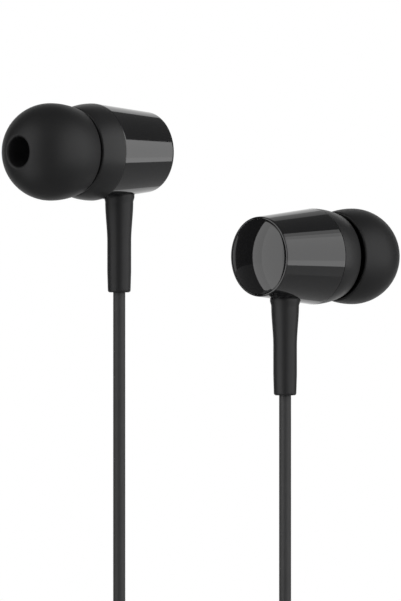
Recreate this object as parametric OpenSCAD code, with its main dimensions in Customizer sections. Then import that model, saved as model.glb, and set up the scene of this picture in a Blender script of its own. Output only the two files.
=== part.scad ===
// Wired in-ear earphones, held up by the left eartip, with the rest of the cable wound and tied below.
// Millimetres, +Z up. The origin is the centre of the left eartip's dome. Both barrels lie along X,
// back to back, with their eartips pointing outwards.

/* [Eartips] */
// Largest diameter of the silicone dome
tip_d = 12.4; // [12:0.1:12.6]
// Diameter of the sound hole in the dome's nose
tip_hole_d = 3.8; // [3.2:0.1:4]
// Thickness of the skirt
skirt_wall = 0.5; // [0.4:0.05:0.6]

/* [Earpieces] */
// Diameter of the collar and of the barrel's front edge
collar_d = 12.4; // [12:0.1:12.8]
// Diameter of the barrel at its rear edge
barrel_rear_d = 10.3; // [10.2:0.1:11]
// Length of the tapered barrel
barrel_length = 9.7; // [9.3:0.1:10.5]
// Length of the collar in front of the barrel
collar_length = 3.5; // [3.2:0.1:3.8]
// Diameter of the nozzle's neck
nozzle_d = 4.7; // [4.5:0.1:4.8]
// Diameter of the nozzle's sound passage
nozzle_bore_d = 3.5; // [3.2:0.1:3.6]

/* [Strain reliefs] */
// Distance from the barrel's axis down to the end of the sleeve
relief_reach = 17.9; // [16.5:0.1:18.4]
// Diameter of the sleeve below its shoulder
relief_top_d = 3.6; // [3.4:0.1:3.7]
// Diameter of the sleeve at its end
relief_end_d = 2.9; // [2.4:0.1:3]

/* [Cable] */
// Diameter of the two branch cords
branch_d = 1.6; // [1.4:0.1:1.7]
// Diameter of the main cord
main_d = 2; // [1.8:0.1:2.1]
// Free space between neighbouring turns of a wound cord
turn_gap = 0.5; // [0.45:0.05:0.6]

/* [Plug] */
// Diameter of the contact pin
pin_d = 3.5; // [3.4:0.1:3.6]
// Length of the contact pin
pin_length = 14; // [13:0.5:15]
// Largest diameter of the grip
grip_d = 7.6; // [7:0.1:8]
// Length of the grip
grip_length = 17; // [15:0.5:18]

/* [Hidden] */
$fn = 96;

// Colours
silicone = [0.15, 0.15, 0.16];
satin_black = [0.2, 0.2, 0.21];
gloss_black = [0.27, 0.27, 0.28];
soft_black = [0.18, 0.18, 0.19];
cord_black = [0.23, 0.23, 0.24];
bright_metal = [0.78, 0.79, 0.8];
dark_plastic = [0.12, 0.12, 0.13];
copper = [0.72, 0.45, 0.2];
board_green = [0.1, 0.35, 0.2];

// Where the two earpieces hang, and the surface that the wound cable lies on
left_cord_x = 12.3;
right_cord_x = 42.4;
right_lower = 13.4;
right_tip_x = left_cord_x + right_cord_x;
floor_z = -78;

// Stations along a barrel's axis, measured from the centre of the eartip's dome towards its nose
collar_front = -3.9;
seam = collar_front - collar_length;
barrel_rear = seam - barrel_length;
cord_station = -left_cord_x;
nozzle_tip = 1.4;
tip_seat = nozzle_tip + 0.2;

// Radii shared by pieces that fit each other
tip_r = tip_d / 2;
hole_r = tip_hole_d / 2;
collar_r = collar_d / 2;
rear_r = barrel_rear_d / 2;
neck_r = nozzle_d / 2;
barb_r = neck_r + 0.2;
tip_bore_r = barb_r + 0.05;
passage_r = nozzle_bore_d / 2;
mesh_r = passage_r + 0.35;
spigot_r = 5.5;
cup_r = 4.9;
cap_seat_r = rear_r - 0.25;
barrel_wall = 0.9;
relief_neck_r = 1.5;
relief_shoulder_r = 1.95;
counterbore_floor = 5.2;

// A point at an angle on a circle, and an arc. An arc leaves out its last point, where the next
// stretch of the outline starts, so that no point is given twice.
function on_circle(radius, angle) = radius * [cos(angle), sin(angle)];
function arc(centre, radius, from, to, steps = 6) =
    [for (i = [0:steps - 1]) centre + on_circle(radius, from + (to - from) * i / steps)];
function smooth(t) = t * t * (3 - 2 * t);
function clamped(t) = min(max(t, 0), 1);

// ---- Earpiece: each piece is drawn along Z, with the eartip's nose up ----

module left_side() rotate([0, -90, 0]) children();
module right_side() translate([right_tip_x, 0, -right_lower]) rotate([0, -90, 180]) children();

// Places a piece that is drawn along Z so that it points down from the barrel's axis at the cord
module at_cord() translate([0, 0, cord_station]) rotate([0, -90, 0]) children();

// The dome turns into a skirt that is open behind, round a core sleeve that grips the nozzle
module eartip() {
    mouth_round = 0.3;
    mouth_x = hole_r + mouth_round;
    mouth_y = sqrt(pow(tip_r - mouth_round, 2) - pow(mouth_x, 2));
    mouth_angle = atan2(mouth_y, mouth_x);
    skirt_sweep = 11.1;
    skirt_centre = [tip_r - skirt_sweep, 0];
    rim_depth = 3.1;
    rim_angle = asin(rim_depth / (skirt_sweep - skirt_wall / 2));
    core_r = 3.3;
    core_end = -3;
    roof_round = 0.8;
    roof_x = core_r + roof_round;
    inner_r = tip_r - skirt_wall;
    roof_y = sqrt(pow(inner_r - roof_round, 2) - pow(roof_x, 2));
    roof_angle = atan2(roof_y, roof_x);
    lead_in = 0.2;
    color(silicone) rotate_extrude() polygon(concat(
        arc([mouth_x, mouth_y], mouth_round, 180, mouth_angle, 4),
        arc([0, 0], tip_r, mouth_angle, 0, 12),
        arc(skirt_centre, skirt_sweep, 0, -rim_angle, 5),
        arc(skirt_centre + on_circle(skirt_sweep - skirt_wall / 2, -rim_angle),
            skirt_wall / 2, -rim_angle, -rim_angle - 180, 6),
        arc(skirt_centre, skirt_sweep - skirt_wall, -rim_angle, 0, 5),
        arc([0, 0], inner_r, 0, roof_angle, 6),
        arc([roof_x, roof_y], roof_round, roof_angle, 180, 6),
        [
            [core_r, roof_y], [core_r, core_end + lead_in], [core_r - lead_in, core_end],
            [tip_bore_r + lead_in, core_end], [tip_bore_r, core_end + lead_in],
            [tip_bore_r, tip_seat], [hole_r, tip_seat]
        ]
    ));
}

// The collar, the cup behind it that holds the driver, and the nozzle with its barb
module front_shell() {
    edge_round = 0.3;
    side_sweep = 10;
    side_centre = [collar_r - side_sweep, seam];
    edge_angle = asin((collar_length - edge_round) / (side_sweep - edge_round));
    fillet = 0.4;
    front_wall = 1.4;
    rear_bevel = 0.1;
    spigot_length = 1.5;
    mesh_seat = nozzle_tip - 0.4;
    color(satin_black) rotate_extrude() polygon(concat(
        [
            [mesh_r, nozzle_tip], [barb_r - 0.3, nozzle_tip], [barb_r, nozzle_tip - 0.5],
            [barb_r, nozzle_tip - 0.9], [neck_r, nozzle_tip - 1.2]
        ],
        arc([neck_r + fillet, collar_front + fillet], fillet, 180, 270, 4),
        [[neck_r + fillet, collar_front]],
        arc(side_centre + on_circle(side_sweep - edge_round, edge_angle), edge_round, 90, edge_angle, 4),
        arc(side_centre, side_sweep, edge_angle, 0.6, 6),
        [
            [collar_r, seam + rear_bevel], [collar_r - rear_bevel, seam],
            [spigot_r, seam], [spigot_r, seam - spigot_length], [cup_r, seam - spigot_length],
            [cup_r, collar_front - front_wall], [passage_r, collar_front - front_wall],
            [passage_r, mesh_seat], [mesh_r, mesh_seat]
        ]
    ));
}

// A thin perforated disc in the nozzle's mouth: a centre hole and three rings of holes
module nozzle_mesh() {
    hole = 0.17;
    step = 0.52;
    color(bright_metal) translate([0, 0, nozzle_tip - 0.4]) difference() {
        cylinder(h = 0.15, r = mesh_r);
        for (ring = [0:3], i = [0:max(ring * 6, 1) - 1])
            rotate([0, 0, ring == 0 ? 0 : i * 60 / ring])
                translate([ring * step, 0, -1]) cylinder(h = 2, r = hole, $fn = 16);
    }
}

// The tapered shell, with a seat for the collar's spigot, a seat for the cap and the cord's exit
module barrel() {
    front_bevel = 0.1;
    rear_round = 0.15;
    seat_depth = 1.6;
    cap_depth = 0.9;
    slope = (collar_r - rear_r) / barrel_length;
    inner_front_r = collar_r - slope * seat_depth - barrel_wall;
    inner_rear_r = rear_r + slope * cap_depth - barrel_wall;
    color(gloss_black) difference() {
        rotate_extrude() polygon(concat(
            [[collar_r - front_bevel, seam], [collar_r, seam - front_bevel]],
            arc([rear_r - rear_round, barrel_rear + rear_round], rear_round, 0, -90, 5),
            [
                [rear_r - rear_round, barrel_rear], [cap_seat_r, barrel_rear],
                [cap_seat_r, barrel_rear + cap_depth], [inner_rear_r, barrel_rear + cap_depth],
                [inner_front_r, seam - seat_depth], [spigot_r, seam - seat_depth], [spigot_r, seam]
            ]
        ));
        at_cord() {
            translate([0, 0, 2]) cylinder(h = 6, r = relief_neck_r);
            translate([0, 0, counterbore_floor]) cylinder(h = 3, r = relief_shoulder_r + 0.05);
        }
    }
}

// A domed disc that closes the barrel, with a ring behind it that centres it
module rear_cap() {
    face_sweep = 10;
    wall = 0.9;
    edge_bevel = 0.06;
    cap_r = cap_seat_r - 0.04;
    ring_r = 4.1;
    ring_inner_r = 3.7;
    seat = barrel_rear + 0.85;
    edge_angle = acos((cap_r - edge_bevel) / face_sweep);
    ring_angle = acos(ring_inner_r / (face_sweep - wall));
    face_centre = [0, barrel_rear + face_sweep * sin(edge_angle)];
    color(gloss_black) rotate_extrude() polygon(concat(
        arc(face_centre, face_sweep, -90, -edge_angle, 8),
        [
            [cap_r - edge_bevel, barrel_rear], [cap_r, barrel_rear + edge_bevel], [cap_r, seat],
            [ring_r, seat], [ring_r, seat + 0.75], [ring_inner_r, seat + 0.75]
        ],
        arc(face_centre, face_sweep - wall, -ring_angle, -90, 6),
        [face_centre + [0, wall - face_sweep]]
    ));
}

// An anchor flange inside the barrel, a neck, a round shoulder in the counterbore and a flared sleeve
module strain_relief() {
    flange_r = 2.3;
    flange_top = 3.3;
    flange_bottom = 3.9;
    shoulder_round = 0.35;
    shoulder_edge = counterbore_floor + shoulder_round;
    flare_start = 6.3;
    flare_end = 11.5;
    waist_r = 1.53;
    waist_end = 15.2;
    top_r = relief_top_d / 2;
    end_r = relief_end_d / 2;
    end_round = 0.3;
    flare = [for (i = [0:8]) let (t = i / 8)
        [top_r + (waist_r - top_r) * smooth(t), flare_start + (flare_end - flare_start) * t]];
    color(soft_black) at_cord() rotate_extrude() polygon(concat(
        [
            [0, flange_top], [flange_r, flange_top], [flange_r, flange_bottom],
            [relief_neck_r, flange_bottom], [relief_neck_r, counterbore_floor]
        ],
        arc([relief_shoulder_r - shoulder_round, shoulder_edge], shoulder_round, -90, 0, 5),
        [[relief_shoulder_r, shoulder_edge], [relief_shoulder_r, counterbore_floor + 0.6]],
        flare,
        [[waist_r, waist_end]],
        arc([end_r - end_round, relief_reach - end_round], end_round, 0, 90, 4),
        [[end_r - end_round, relief_reach], [0, relief_reach]]
    ));
}

// ---- Driver: pieces of the moving-coil sound unit in the cup, drawn along Z like the earpiece ----

driver_front = collar_front - 1.5;
ledge = driver_front - 1;
gap_front = ledge - 0.65;
plate_rear = gap_front - 0.4;
magnet_rear = plate_rear - 1;
yoke_rear = magnet_rear - 0.6;
frame_rear = gap_front - 1.6;
yoke_r = 3.1;
coil_inner_r = 2.15;

// A basket with a ledge for the film, a seat for the yoke and six vents through its floor
module driver_frame() color(dark_plastic) difference() {
    rotate_extrude() polygon([
        [4.3, driver_front], [4.8, driver_front], [4.8, frame_rear], [yoke_r, frame_rear],
        [yoke_r, frame_rear + 0.6], [4, frame_rear + 0.6], [4, ledge], [4.3, ledge]
    ]);
    for (i = [0:5])
        rotate([0, 0, 60 * i]) translate([3.6, 0, frame_rear - 1]) cylinder(h = 2, r = 0.3, $fn = 24);
}

// A domed centre and a rolled surround in one thin film
module diaphragm() {
    film = 0.12;
    dome_sweep = 4;
    dome_r = 2.4;
    dome_angle = acos(dome_r / dome_sweep);
    dome_centre = ledge - dome_sweep * sin(dome_angle);
    roll_r = (4 - dome_r) / 2;
    color([0.75, 0.68, 0.45]) rotate_extrude() polygon(concat(
        arc([0, dome_centre + film], dome_sweep, 90, dome_angle, 6),
        arc([dome_r + roll_r, ledge + film], roll_r, 180, 0, 8),
        [[4, ledge + film], [4.25, ledge + film], [4.25, ledge]],
        arc([dome_r + roll_r, ledge], roll_r - 0.05, 0, 180, 8),
        arc([0, dome_centre], dome_sweep, dome_angle, 90, 6),
        [[0, dome_centre + dome_sweep]]
    ));
}

module voice_coil() color(copper) translate([0, 0, ledge - 1.4]) difference() {
    cylinder(h = 1.38, r = coil_inner_r + 0.22);
    translate([0, 0, -1]) cylinder(h = 4, r = coil_inner_r);
}

module top_plate() color(bright_metal)
    translate([0, 0, plate_rear]) cylinder(h = gap_front - plate_rear, r = 2);

module magnet() color(bright_metal)
    translate([0, 0, magnet_rear]) cylinder(h = plate_rear - magnet_rear, r = 1.9);

// A steel cup round the magnet
module yoke() color([0.6, 0.6, 0.62]) difference() {
    translate([0, 0, yoke_rear]) cylinder(h = gap_front - yoke_rear, r = yoke_r);
    translate([0, 0, magnet_rear]) cylinder(h = 4, r = 2.55);
}

// A felt ring over the vents
module damper_ring() color([0.85, 0.85, 0.82]) translate([0, 0, frame_rear - 0.2]) difference() {
    cylinder(h = 0.2, r = 4.6);
    translate([0, 0, -1]) cylinder(h = 2, r = yoke_r + 0.1);
}

// A round board on the yoke's back, with two domes of solder
module terminal_board() color(board_green) {
    translate([0, 0, yoke_rear - 0.5]) cylinder(h = 0.5, r = 2.5);
    for (side = [-1, 1])
        translate([-1, side * 1.1, yoke_rear - 0.5]) intersection() {
            sphere(r = 0.5, $fn = 32);
            translate([-1, -1, -1]) cube([2, 2, 1.2]);
        }
}

// Two insulated wires from the solder to the strain relief's flange
module lead_wires() {
    wire_r = 0.22;
    bend = 0.9;
    pad = [-1, yoke_rear - 1];
    color(copper) for (side = [-1, 1]) translate([pad.x, side * 1.1, 0]) {
        translate([0, 0, cord_station + bend]) cylinder(h = pad.y - cord_station - bend, r = wire_r, $fn = 24);
        translate([-bend, 0, cord_station + bend]) rotate([-90, 0, 0])
            rotate_extrude(angle = 90) translate([bend, 0]) circle(r = wire_r, $fn = 24);
        translate([-bend, 0, cord_station]) rotate([0, -90, 0])
            cylinder(h = 3.3 + pad.x - bend, r = wire_r, $fn = 24);
    }
}

// ---- Cable ----

// Each coil lies in layers: it winds inwards and outwards in turn and climbs where it reverses.
// A coil is [centre, outer radius, turns, layers, start angle, height of its lowest layer, diameter].
branch_pitch = branch_d + turn_gap;
main_pitch = main_d + turn_gap;
left_coil = [[31.6, 10.8], 10.8, 4.25, 2, -90, floor_z + branch_d / 2, branch_d];
right_coil = [[31.6, 10.8], 10.8, 5, 2, 0, left_coil[5] + 2 * branch_pitch, branch_d];
main_coil = [[8.6, 24.8], 13.6, 11.5, 4, 90, floor_z + main_d / 2, main_d];
rings_a_loop = 24;

function coil_point(coil, i) =
    let (
        pitch = coil[6] + turn_gap,
        swept = 360 * i / rings_a_loop,
        whole = 360 * coil[2],
        layer = swept / whole * coil[3],
        inwards = 1 - abs(1 - (layer - 2 * floor(layer / 2))),
        radius = coil[1] - pitch * coil[2] / coil[3] * inwards,
        climbs = [for (k = [1:coil[3] - 1]) smooth(clamped((swept - whole * k / coil[3] + 90) / 180))],
        at = coil[0] + on_circle(radius, coil[4] + swept)
    )
    [at.x, at.y, coil[5] + pitch * total(climbs)];
function total(values, i = 0) = i == len(values) ? 0 : values[i] + total(values, i + 1);

// A coil's points, with a straight end one diameter long where it meets the next stretch
function coil_path(coil) =
    let (
        last = coil[2] * rings_a_loop,
        first_way = on_circle(coil[6], coil[4] + 90),
        last_way = on_circle(coil[6], coil[4] + 360 * coil[2] + 90),
        first_point = coil_point(coil, 0),
        last_point = coil_point(coil, last)
    )
    concat(
        [first_point - [first_way.x, first_way.y, 0]],
        [for (i = [0:last]) coil_point(coil, i)],
        [last_point + [last_way.x, last_way.y, 0]]
    );

left_coil_path = coil_path(left_coil);
right_coil_path = coil_path(right_coil);
main_coil_path = coil_path(main_coil);

function first(path) = path[0];
function last(path) = path[len(path) - 1];

// The free stretches: each runs through points set by hand, between the pieces that it joins.
// The drops hang from their strain reliefs and turn along the floor into their coils.
left_drop = concat(
    [for (z = [-relief_reach, -22, -26.5, -31, -35.5, -40, -44.5, -49, -53.5, -58, -62.5, -67, -71.2])
        [left_cord_x, 0, z]],
    [[13.1, 0, -74.2], [15.3, 0, -76.4], [18.2, 0, -77.2], [22, 0, -77.2], [26, 0, -77.2]],
    [first(left_coil_path)]
);
right_drop = concat(
    [for (z = [-right_lower - relief_reach, -35.5, -40, -44.5, -49, -53.5, -58, -62.5, -67.1])
        [right_cord_x, 0, z]],
    [[right_cord_x, 0.8, -70.1], [right_cord_x, 3, -72.3], [right_cord_x, 6, -73]],
    [first(right_coil_path)]
);
left_tail = concat([last(left_coil_path)], [
    [42.4, 13.9, -75.1], [42.4, 16.8, -75.6], [42.2, 20.5, -76.5], [41.9, 24, -77], [41.8, 28, -77],
    [41.8, 31.2, -76.8], [41, 34, -76.3], [39.2, 36, -75.7], [37.6, 36.8, -75.4], [36, 36.8, -75.4]
]);
right_tail = concat([last(right_coil_path)], [
    [42.4, 13.9, -70.9], [42.8, 16.8, -72], [43.8, 20.5, -74.4], [44.7, 24, -76.4], [45, 28, -77.1],
    [45, 31.2, -77.1], [44.2, 34.6, -76.8], [42.4, 37.4, -76.2], [39.8, 39.4, -75.6],
    [37.6, 40, -75.4], [36, 40, -75.4]
]);
main_start = concat([
    [20, 38.4, -75.4], [18.2, 38.4, -75.4], [15.6, 38.4, -76.1], [13.6, 38.4, -76.8], [12, 38.4, -77]
], [first(main_coil_path)]);
main_end = concat([last(main_coil_path)], [
    [12, 11.2, -69.5], [14, 11.2, -69.1], [16, 11.2, -67.8], [17.6, 11.2, -66.8], [19.2, 11.2, -66.45],
    [20.5, 11.2, -66.45]
]);

function unit(v) = v / norm(v);
function heading(path, i) = unit(path[min(i + 1, len(path) - 1)] - path[max(i - 1, 0)]);

// One closed tube swept along a path: a ring of corners at each point, square to the path there.
// side is a direction that the path never runs along.
module tube(path, diameter, sides, side) {
    rings = len(path);
    corners = [for (i = [0:rings - 1])
        let (way = heading(path, i), across = unit(cross(way, side)), up = cross(across, way))
        for (k = [0:sides - 1])
            let (a = 360 * k / sides) path[i] + diameter / 2 * (cos(a) * across + sin(a) * up)];
    walls = [for (i = [0:rings - 2], k = [0:sides - 1])
        let (a = i * sides + k, b = i * sides + (k + 1) % sides)
        each [[a, b, a + sides], [b, b + sides, a + sides]]];
    last_ring = (rings - 1) * sides;
    ends = [for (k = [1:sides - 2])
        each [[0, k + 1, k], [last_ring, last_ring + k, last_ring + k + 1]]];
    polyhedron(points = corners, faces = concat(walls, ends));
}

module stretch(path, diameter, side = [0, 0, 1]) color(cord_black) tube(path, diameter, 8, side);
module wound(path, diameter) color(cord_black) tube(path, diameter, 6, [0, 0, 1]);

// The least free space between turns, measured between points at least half a loop apart
function least_gap(path, diameter) =
    min([for (i = [0:len(path) - 1], j = [i + rings_a_loop / 2:1:len(path) - 1])
        norm(path[i] - path[j])]) - diameter;
function run(path) = total([for (i = [1:len(path) - 1]) norm(path[i] - path[i - 1])]);

// A flat tie round a bundle: a band with round corners and its two twisted ends.
// It is drawn across X and Z and wraps a bundle from inner to outer along X.
module tie(inner, outer, top) {
    band = 0.4;
    clearance = 0.12;
    width = 2.6;
    corner = 0.9;
    size = [outer - inner + 2 * clearance, top - floor_z + 2 * clearance];
    color(dark_plastic) {
        translate([inner - clearance, width / 2, floor_z - clearance]) rotate([90, 0, 0])
            linear_extrude(width) difference() {
                rounded([-band, -band], size + 2 * [band, band], corner + band);
                rounded([0, 0], size, corner);
            }
        translate([outer + clearance + band, 0, (top + floor_z) / 2]) for (k = [0:2])
            translate([0.45 + 0.8 * k, 0, 0]) rotate([35 * k, 0, 0])
                cube([1, 1.8, 0.8], center = true);
    }
}

module rounded(corner, size, radius) translate(corner) union() {
    translate([radius, 0]) square([size.x - 2 * radius, size.y]);
    translate([0, radius]) square([size.x, size.y - 2 * radius]);
    for (x = [radius, size.x - radius], y = [radius, size.y - radius]) translate([x, y]) circle(r = radius);
}

module branch_coil_tie() translate([left_coil[0].x, left_coil[0].y, 0]) rotate([0, 0, 205]) tie(
    right_coil[1] - branch_pitch * right_coil[2] / right_coil[3] - branch_d / 2,
    left_coil[1] + branch_d / 2,
    right_coil[5] + branch_pitch + branch_d / 2
);

module main_coil_tie() translate([main_coil[0].x, main_coil[0].y, 0]) rotate([0, 0, 150]) tie(
    main_coil[1] - main_pitch * main_coil[2] / main_coil[3] - main_d / 2,
    main_coil[1] + main_d / 2,
    main_coil[5] + 3 * main_pitch + main_d / 2
);

// A flat moulded fork: two short sleeves lead the branches in, one leads the main cord out
splitter_in = last(left_tail).x;
splitter_out = first(main_start).x;
splitter_y = first(main_start).y;
splitter_z = first(main_start).z;
branch_apart = (last(right_tail).y - last(left_tail).y) / 2;
module cable_splitter() color(satin_black) translate([0, splitter_y, splitter_z]) rotate([0, 90, 0]) {
    body_front = splitter_out + 3.5;
    body_rear = splitter_in - 3;
    hull() {
        for (side = [-1, 1]) translate([0, side * branch_apart, 0]) {
            translate([0, 0, body_rear - 0.5]) cylinder(h = 0.5, r = 1.9, $fn = 32);
            translate([0, 0, body_rear - 2.5]) cylinder(h = 1.8, r = 2.2, $fn = 32);
        }
        translate([0, 0, body_front]) cylinder(h = 0.5, r = 1.9, $fn = 32);
        translate([0, 0, body_front + 0.4]) cylinder(h = 1.4, r = 2.2, $fn = 32);
    }
    for (side = [-1, 1])
        translate([0, side * branch_apart, body_rear - 0.5]) cylinder(h = 3.5, r1 = 1.5, r2 = 1.25);
    translate([0, 0, splitter_out]) cylinder(h = 3.6, r1 = 1.5, r2 = 1.8);
}

// ---- Plug: pieces are drawn along Z, with the pin pointing up from the grip's face ----

plug_relief_length = 8;
grip_face = last(main_end).x + plug_relief_length + grip_length;
module at_plug() translate([grip_face, last(main_end).y, last(main_end).z]) rotate([0, 90, 0]) children();

// Stations of the pin's contacts along its length
rear_band = pin_length - 7.2;
ring_band = rear_band + 0.7;
front_band = ring_band + 1.8;
tip_band = front_band + 0.7;
pin_r = pin_d / 2;
rod_r = 0.5;
inner_tube_r = 0.75;
ring_tube_r = 1;
outer_tube_r = 1.25;
buried = 5;

// A sleeve of soft rings that bends with the cord
module plug_strain_relief() color(soft_black) at_plug() {
    ring_count = 5;
    ring_step = plug_relief_length / ring_count;
    difference() {
        translate([0, 0, -grip_length - plug_relief_length])
            cylinder(h = plug_relief_length, r1 = 1.6, r2 = 2.5);
        for (i = [1:ring_count - 1])
            translate([0, 0, -grip_length - plug_relief_length + i * ring_step]) difference() {
                cylinder(h = 0.5, r = 4, center = true);
                cylinder(h = 1, r = 1.3, center = true);
            }
    }
}

// A slim round grip with a drawn-in waist and a recess for the pin's flange
module plug_grip() {
    waist = 0.35;
    edge = 0.6;
    sides = [for (i = [0:12]) let (t = i / 12)
        [grip_d / 2 - waist * sin(180 * t), -edge - (grip_length - 2 * edge) * t]];
    color(satin_black) at_plug() difference() {
        rotate_extrude() polygon(concat(
            [[0, 0]],
            [[grip_d / 2 - edge, 0]],
            [for (a = [60, 30]) [grip_d / 2 - edge + edge * cos(a), -edge + edge * sin(a)]],
            sides,
            [for (a = [30, 60]) [grip_d / 2 - edge + edge * cos(a), -grip_length + edge - edge * sin(a)]],
            [[grip_d / 2 - edge, -grip_length], [0, -grip_length]]
        ));
        translate([0, 0, -buried]) cylinder(h = buried + 1, r = pin_r);
        translate([0, 0, -0.6]) cylinder(h = 2, r = 2.6);
    }
}

module sleeve(from, to, inner, outer) translate([0, 0, from]) difference() {
    cylinder(h = to - from, r = outer);
    translate([0, 0, -1]) cylinder(h = to - from + 2, r = inner);
}

module plug_sleeve_contact() color(bright_metal) at_plug() {
    sleeve(-buried, rear_band, outer_tube_r, pin_r);
    sleeve(-0.6, 0.3, outer_tube_r, 2.6);
}

module plug_rear_insulator() color(dark_plastic) at_plug() {
    sleeve(-buried, ring_band, ring_tube_r, outer_tube_r);
    sleeve(rear_band, ring_band, ring_tube_r, pin_r);
}

module plug_ring_contact() color(bright_metal) at_plug() {
    sleeve(-buried, front_band, inner_tube_r, ring_tube_r);
    sleeve(ring_band, front_band, inner_tube_r, pin_r);
}

module plug_front_insulator() color(dark_plastic) at_plug() {
    sleeve(-buried, tip_band, rod_r, inner_tube_r);
    sleeve(front_band, tip_band, rod_r, pin_r);
}

// The tip's groove catches the socket's spring
module plug_tip_contact() color(bright_metal) at_plug() rotate_extrude() polygon(concat(
    [
        [0, -buried], [rod_r, -buried], [rod_r, tip_band], [pin_r, tip_band], [pin_r, tip_band + 0.7],
        [pin_r - 0.5, tip_band + 1.2], [pin_r - 0.5, tip_band + 1.4], [pin_r - 0.15, tip_band + 2]
    ],
    arc([0.5, pin_length - 0.9], 0.9, 30, 90, 4),
    [[0.5, pin_length], [0, pin_length]]
));

echo(least_gap_left_coil = least_gap(left_coil_path, branch_d));
echo(least_gap_right_coil = least_gap(right_coil_path, branch_d));
echo(least_gap_main_coil = least_gap(main_coil_path, main_d));
echo(left_branch_length = run(left_drop) + run(left_coil_path) + run(left_tail));
echo(right_branch_length = run(right_drop) + run(right_coil_path) + run(right_tail));
echo(main_cord_length = run(main_start) + run(main_coil_path) + run(main_end));

left_side() eartip();  // left_eartip
left_side() front_shell();  // left_front_shell
left_side() nozzle_mesh();  // left_nozzle_mesh
left_side() barrel();  // left_barrel
left_side() rear_cap();  // left_rear_cap
left_side() strain_relief();  // left_strain_relief
left_side() driver_frame();  // left_driver_frame
left_side() diaphragm();  // left_diaphragm
left_side() voice_coil();  // left_voice_coil
left_side() top_plate();  // left_top_plate
left_side() magnet();  // left_magnet
left_side() yoke();  // left_yoke
left_side() damper_ring();  // left_damper_ring
left_side() terminal_board();  // left_terminal_board
left_side() lead_wires();  // left_lead_wires
right_side() eartip();  // right_eartip
right_side() front_shell();  // right_front_shell
right_side() nozzle_mesh();  // right_nozzle_mesh
right_side() barrel();  // right_barrel
right_side() rear_cap();  // right_rear_cap
right_side() strain_relief();  // right_strain_relief
right_side() driver_frame();  // right_driver_frame
right_side() diaphragm();  // right_diaphragm
right_side() voice_coil();  // right_voice_coil
right_side() top_plate();  // right_top_plate
right_side() magnet();  // right_magnet
right_side() yoke();  // right_yoke
right_side() damper_ring();  // right_damper_ring
right_side() terminal_board();  // right_terminal_board
right_side() lead_wires();  // right_lead_wires
stretch(left_drop, branch_d, [0, 1, 0]);  // left_cord_drop
wound(left_coil_path, branch_d);  // left_cord_coil
stretch(left_tail, branch_d);  // left_cord_tail
stretch(right_drop, branch_d, [1, 0, 0]);  // right_cord_drop
wound(right_coil_path, branch_d);  // right_cord_coil
stretch(right_tail, branch_d);  // right_cord_tail
branch_coil_tie();
cable_splitter();
stretch(main_start, main_d);  // main_cord_start
wound(main_coil_path, main_d);  // main_cord_coil
stretch(main_end, main_d);  // main_cord_end
main_coil_tie();
plug_strain_relief();
plug_grip();
plug_sleeve_contact();
plug_rear_insulator();
plug_ring_contact();
plug_front_insulator();
plug_tip_contact();
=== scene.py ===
import bpy
import bmesh
import math
from mathutils import Matrix, Vector


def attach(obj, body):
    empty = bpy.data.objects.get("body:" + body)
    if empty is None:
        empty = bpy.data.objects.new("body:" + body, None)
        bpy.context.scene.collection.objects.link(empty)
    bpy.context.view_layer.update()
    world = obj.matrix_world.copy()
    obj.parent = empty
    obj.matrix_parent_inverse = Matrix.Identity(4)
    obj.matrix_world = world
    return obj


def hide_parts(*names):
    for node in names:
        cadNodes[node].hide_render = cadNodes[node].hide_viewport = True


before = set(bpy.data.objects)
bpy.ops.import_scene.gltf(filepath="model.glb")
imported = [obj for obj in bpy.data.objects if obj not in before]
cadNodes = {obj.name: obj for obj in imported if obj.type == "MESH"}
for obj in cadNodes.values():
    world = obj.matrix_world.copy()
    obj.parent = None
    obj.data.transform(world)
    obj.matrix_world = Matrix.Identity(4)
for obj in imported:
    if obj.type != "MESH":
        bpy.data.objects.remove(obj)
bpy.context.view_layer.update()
scene = bpy.context.scene
mm = 0.001
print("frame loaded,", len(cadNodes), "nodes")

# A long lens, almost level, looking along +X +Y
camera = {
    "distance": 2.0193,    # metres to the plane midway between the two eartips
    "pixelSize": 0.1283,   # millimetres of that plane in one pixel
    "imageHeight": 601,
    "aim": (19.07, 19.34, -19.0),  # millimetres right, along and up from the left eartip's centre
    "lookDown": 0.352,     # degrees
    "sensor": 36,
    "clip": (0.1, 50),
}
lookAlong = Vector((1, 1, 0)).normalized()
toRight = Vector((1, -1, 0)).normalized()


def makeCamera():
    data = bpy.data.cameras.new("mainCamera")
    data.sensor_width = camera["sensor"]
    data.lens = camera["sensor"] * camera["distance"] / (camera["imageHeight"] * camera["pixelSize"] * mm)
    data.clip_start, data.clip_end = camera["clip"]
    eye = bpy.data.objects.new("mainCamera", data)
    scene.collection.objects.link(eye)
    right, along, up = camera["aim"]
    down = math.radians(camera["lookDown"])
    aim = (toRight * right + lookAlong * along + Vector((0, 0, up))) * mm
    towards = lookAlong * math.cos(down) - Vector((0, 0, math.sin(down)))
    eye.location = aim - towards * camera["distance"]
    eye.rotation_euler = (math.pi / 2 - down, 0, -math.pi / 4)
    scene.camera = eye


makeCamera()
print("camera placed")


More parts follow.
